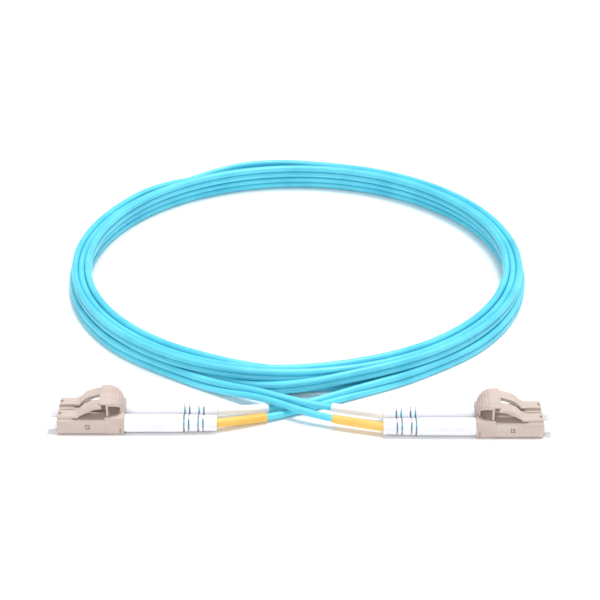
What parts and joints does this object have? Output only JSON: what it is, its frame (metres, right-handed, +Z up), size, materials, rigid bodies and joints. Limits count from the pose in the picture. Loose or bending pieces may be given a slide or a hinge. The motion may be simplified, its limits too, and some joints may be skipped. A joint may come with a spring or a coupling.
{
  "type": "fiber optic patch cord",
  "caption": "Coiled duplex fibre optic patch cord with a clipped pair of small-form plugs, latch triggers, boots and dust caps at each end.",
  "frame": {"origin": "on the surface that the cord lies on, midway between the two pairs of plugs", "axes": "+X from the left pair of plugs to the right pair, +Y towards the coil, +Z up"},
  "size_m": [0.1416, 0.1627, 0.0099],
  "materials": {
    "housing_plastic": "satin moulded, beige",
    "clip_plastic": "satin moulded, beige",
    "ferrule_ceramic": "polished white ceramic",
    "holder_metal": "nickel plated",
    "spring_steel": "drawn wire",
    "post_plastic": "moulded, beige",
    "crimp_metal": "crimped",
    "fibre_buffer": "tight buffer, aqua",
    "boot_rubber": "soft, white",
    "cap_plastic": "translucent, milky",
    "sleeve_yellow": "printed-grade tube, blank, yellow",
    "sleeve_white": "tube, blank, white",
    "cord_jacket": "smooth jacket, aqua"
  },
  "bodies": {
    "root": {"left_clip": "clip_plastic", "left_near_housing": "housing_plastic", "left_near_back_post": "post_plastic", "left_near_crimp_sleeve": "crimp_metal", "left_near_jacket_end": "cord_jacket", "left_near_boot": "boot_rubber", "left_near_marking_sleeve": "sleeve_yellow", "left_near_cord": "cord_jacket", "left_far_housing": "housing_plastic", "left_far_back_post": "post_plastic", "left_far_crimp_sleeve": "crimp_metal", "left_far_jacket_end": "cord_jacket", "left_far_boot": "boot_rubber", "left_far_marking_sleeve": "sleeve_white", "left_far_cord": "cord_jacket", "right_clip": "clip_plastic", "right_near_housing": "housing_plastic", "right_near_back_post": "post_plastic", "right_near_crimp_sleeve": "crimp_metal", "right_near_jacket_end": "cord_jacket", "right_near_boot": "boot_rubber", "right_near_marking_sleeve": "sleeve_yellow", "right_near_cord": "cord_jacket", "right_far_housing": "housing_plastic", "right_far_back_post": "post_plastic", "right_far_crimp_sleeve": "crimp_metal", "right_far_jacket_end": "cord_jacket", "right_far_boot": "boot_rubber", "right_far_marking_sleeve": "sleeve_white", "right_far_cord": "cord_jacket", "cord_coil": "cord_jacket"},
    "left_trigger": {"left_trigger": "clip_plastic"},
    "left_near_latch": {"left_near_latch": "housing_plastic"},
    "left_near_ferrule_set": {"left_near_ferrule": "ferrule_ceramic", "left_near_ferrule_holder": "holder_metal", "left_near_fibre": "fibre_buffer", "left_near_spring": "spring_steel"},
    "left_near_dust_cap": {"left_near_dust_cap": "cap_plastic"},
    "left_far_latch": {"left_far_latch": "housing_plastic"},
    "left_far_ferrule_set": {"left_far_ferrule": "ferrule_ceramic", "left_far_ferrule_holder": "holder_metal", "left_far_fibre": "fibre_buffer", "left_far_spring": "spring_steel"},
    "left_far_dust_cap": {"left_far_dust_cap": "cap_plastic"},
    "right_trigger": {"right_trigger": "clip_plastic"},
    "right_near_latch": {"right_near_latch": "housing_plastic"},
    "right_near_ferrule_set": {"right_near_ferrule": "ferrule_ceramic", "right_near_ferrule_holder": "holder_metal", "right_near_fibre": "fibre_buffer", "right_near_spring": "spring_steel"},
    "right_near_dust_cap": {"right_near_dust_cap": "cap_plastic"},
    "right_far_latch": {"right_far_latch": "housing_plastic"},
    "right_far_ferrule_set": {"right_far_ferrule": "ferrule_ceramic", "right_far_ferrule_holder": "holder_metal", "right_far_fibre": "fibre_buffer", "right_far_spring": "spring_steel"},
    "right_far_dust_cap": {"right_far_dust_cap": "cap_plastic"}
  },
  "joints": [
    {"name": "left_trigger_press", "type": "hinge", "parent": "root", "child": "left_trigger", "pos_m": [-0.04885, 0.0009, 0.0057], "axis": [0, -1, 0], "range_deg": [0, 12], "stiffness_Nm_per_rad": 0.002},
    {"name": "left_near_latch_press", "type": "hinge", "parent": "root", "child": "left_near_latch", "pos_m": [-0.062, -0.00222, 0.00545], "axis": [0, 1, 0], "range_deg": [0, 8.4]},
    {"name": "left_near_ferrule_slide", "type": "slide", "parent": "root", "child": "left_near_ferrule_set", "axis": [1, 0, 0], "range_m": [0, 0.001], "stiffness_N_per_m": 1500, "deforming": ["left_near_spring"]},
    {"name": "left_near_cap_pull", "type": "slide", "parent": "left_near_ferrule_set", "child": "left_near_dust_cap", "axis": [-1, 0, 0], "range_m": [0, 0.008]},
    {"name": "left_far_latch_press", "type": "hinge", "parent": "root", "child": "left_far_latch", "pos_m": [-0.062, 0.00402, 0.00545], "axis": [0, 1, 0], "range_deg": [0, 8.4]},
    {"name": "left_far_ferrule_slide", "type": "slide", "parent": "root", "child": "left_far_ferrule_set", "axis": [1, 0, 0], "range_m": [0, 0.001], "stiffness_N_per_m": 1500, "deforming": ["left_far_spring"]},
    {"name": "left_far_cap_pull", "type": "slide", "parent": "left_far_ferrule_set", "child": "left_far_dust_cap", "axis": [-1, 0, 0], "range_m": [0, 0.008]},
    {"name": "right_trigger_press", "type": "hinge", "parent": "root", "child": "right_trigger", "pos_m": [0.04885, -0.0009, 0.0057], "axis": [0, 1, 0], "range_deg": [0, 12], "stiffness_Nm_per_rad": 0.002},
    {"name": "right_near_latch_press", "type": "hinge", "parent": "root", "child": "right_near_latch", "pos_m": [0.062, -0.00402, 0.00545], "axis": [0, -1, 0], "range_deg": [0, 8.4]},
    {"name": "right_near_ferrule_slide", "type": "slide", "parent": "root", "child": "right_near_ferrule_set", "axis": [-1, 0, 0], "range_m": [0, 0.001], "stiffness_N_per_m": 1500, "deforming": ["right_near_spring"]},
    {"name": "right_near_cap_pull", "type": "slide", "parent": "right_near_ferrule_set", "child": "right_near_dust_cap", "axis": [1, 0, 0], "range_m": [0, 0.008]},
    {"name": "right_far_latch_press", "type": "hinge", "parent": "root", "child": "right_far_latch", "pos_m": [0.062, 0.00222, 0.00545], "axis": [0, -1, 0], "range_deg": [0, 8.4]},
    {"name": "right_far_ferrule_slide", "type": "slide", "parent": "root", "child": "right_far_ferrule_set", "axis": [-1, 0, 0], "range_m": [0, 0.001], "stiffness_N_per_m": 1500, "deforming": ["right_far_spring"]},
    {"name": "right_far_cap_pull", "type": "slide", "parent": "right_far_ferrule_set", "child": "right_far_dust_cap", "axis": [1, 0, 0], "range_m": [0, 0.008]}
  ],
  "couplings": [
    {"joint": "left_near_latch_press", "follows": "left_trigger_press", "ratio": 0.7},
    {"joint": "left_far_latch_press", "follows": "left_trigger_press", "ratio": 0.7},
    {"joint": "right_near_latch_press", "follows": "right_trigger_press", "ratio": 0.7},
    {"joint": "right_far_latch_press", "follows": "right_trigger_press", "ratio": 0.7}
  ]
}
